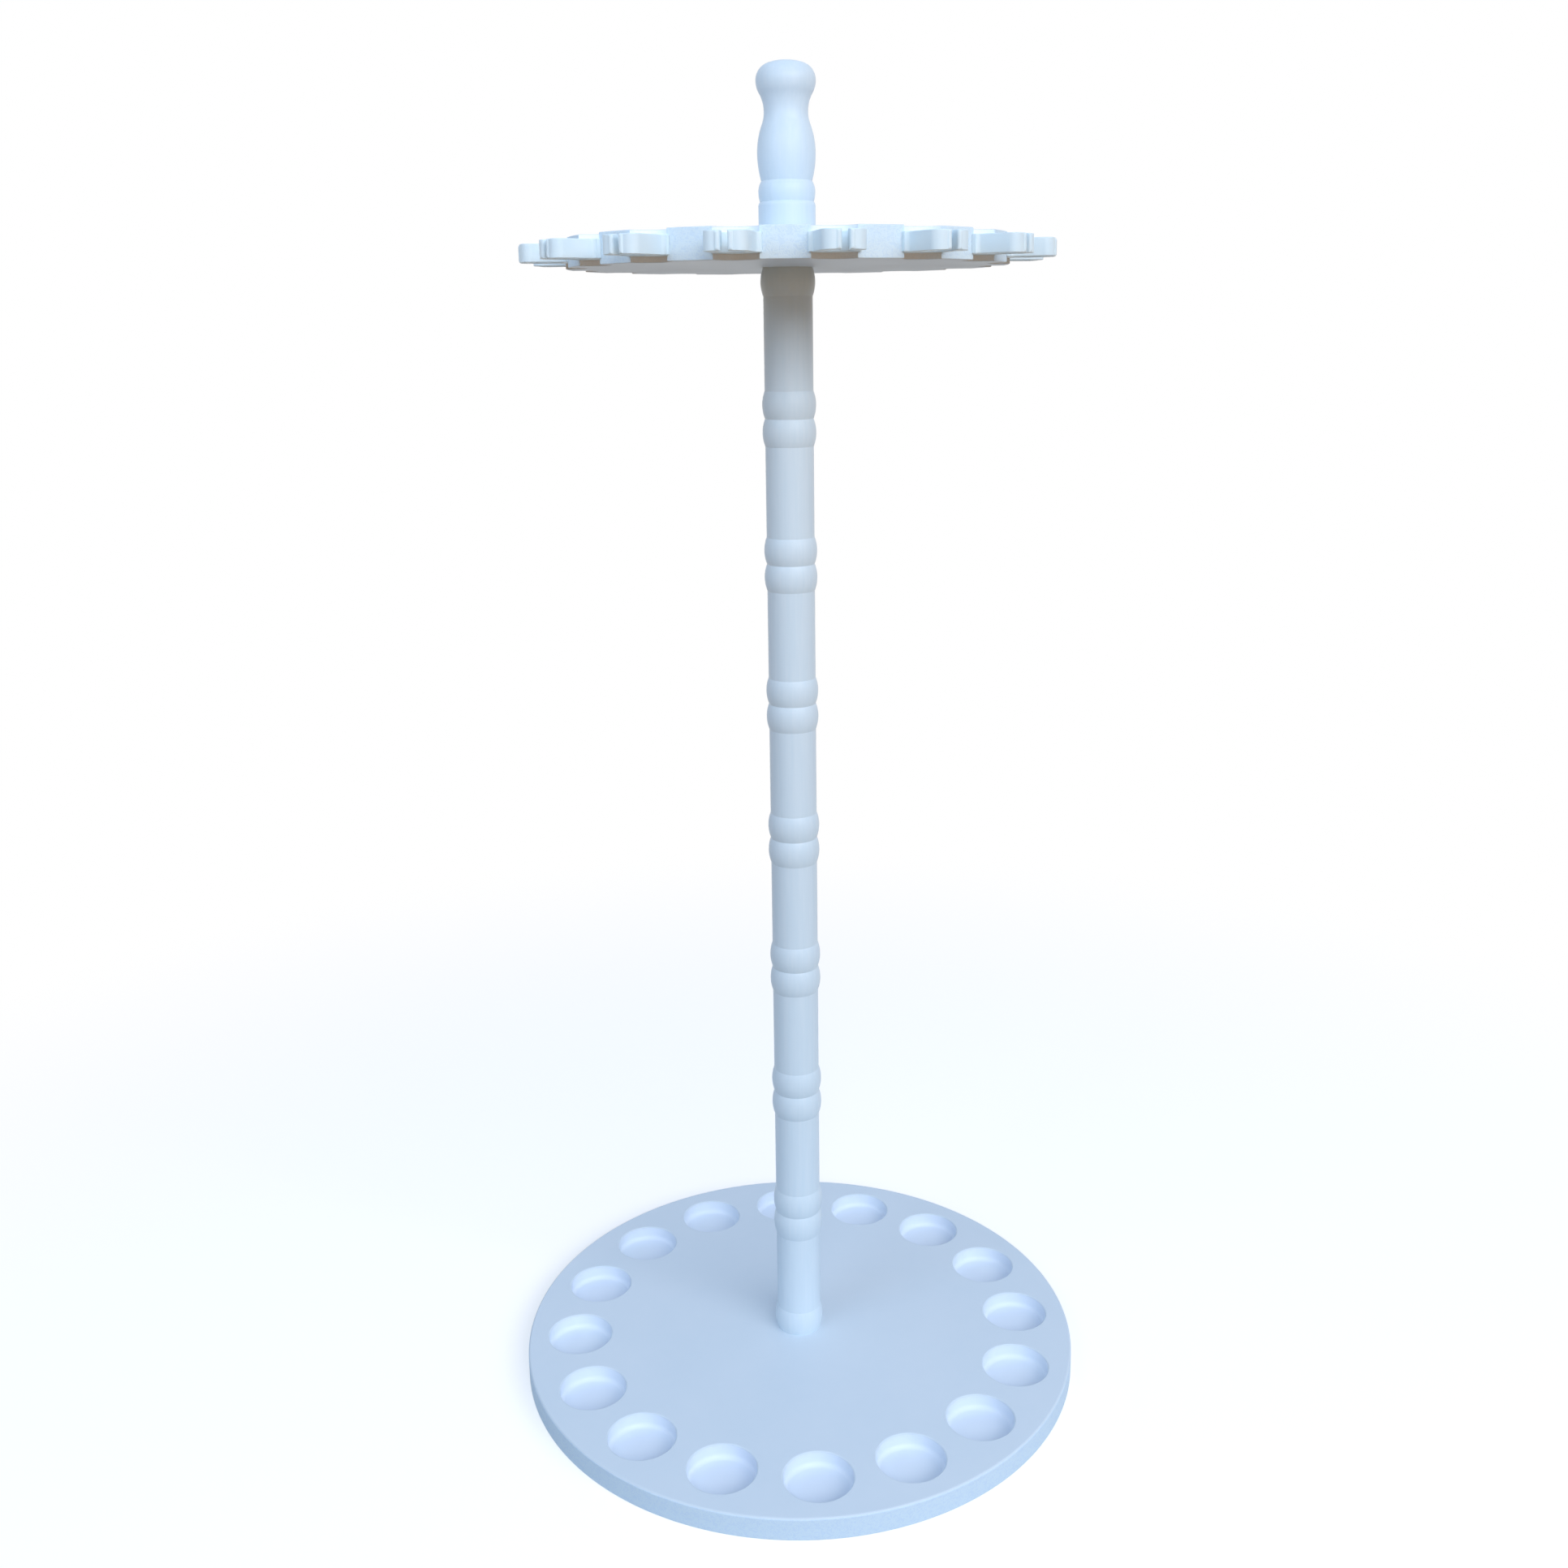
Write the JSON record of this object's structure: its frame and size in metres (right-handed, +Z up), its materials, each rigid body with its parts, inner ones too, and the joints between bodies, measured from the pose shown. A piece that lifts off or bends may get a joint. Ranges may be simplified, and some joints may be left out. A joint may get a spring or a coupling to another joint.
{
  "type": "fishing rod rack",
  "caption": "Round floor rack for fishing rods: a pocketed base plate, a turned column, a turning disc with spring clips and a carrying handle.",
  "frame": {"origin": "middle of the underside of the base plate, on the floor", "axes": "+Z up along the column, -Y to the front as pictured, +X to the right"},
  "size_m": [0.3799, 0.38, 0.8573],
  "materials": {
    "painted_board": "white paint on sheet board, satin on the faces and grainy on the sawn edges",
    "painted_turning": "white paint on turned wood, satin",
    "clip_plastic": "white moulded plastic, smooth satin",
    "zinc_steel": "bright zinc plating",
    "brass": "turned brass"
  },
  "bodies": {
    "stand": {"base_plate": "painted_board", "base_bolt": "zinc_steel", "base_washer": "zinc_steel", "spindle_1": "painted_turning", "spindle_2": "painted_turning", "spindle_3": "painted_turning", "spindle_4": "painted_turning", "spindle_5": "painted_turning", "spindle_6": "painted_turning", "spindle_7": "painted_turning", "spindle_8": "painted_turning", "hanger_bolts": "zinc_steel", "top_hanger_bolt": "zinc_steel", "insert_nuts": "brass", "handle": "painted_turning", "handle_insert": "brass"},
    "clip_wheel": {"clip_disc": "painted_board", "rod_clip_01": "clip_plastic", "rod_clip_02": "clip_plastic", "rod_clip_03": "clip_plastic", "rod_clip_04": "clip_plastic", "rod_clip_05": "clip_plastic", "rod_clip_06": "clip_plastic", "rod_clip_07": "clip_plastic", "rod_clip_08": "clip_plastic", "rod_clip_09": "clip_plastic", "rod_clip_10": "clip_plastic", "rod_clip_11": "clip_plastic", "rod_clip_12": "clip_plastic", "rod_clip_13": "clip_plastic", "rod_clip_14": "clip_plastic", "rod_clip_15": "clip_plastic", "rod_clip_16": "clip_plastic", "clip_screws": "zinc_steel"}
  },
  "joints": [
    {"name": "clip_disc_turn", "type": "hinge", "parent": "stand", "child": "clip_wheel", "pos_m": [0, 0, 0.74775], "axis": [0, 0, 1], "continuous": true}
  ]
}
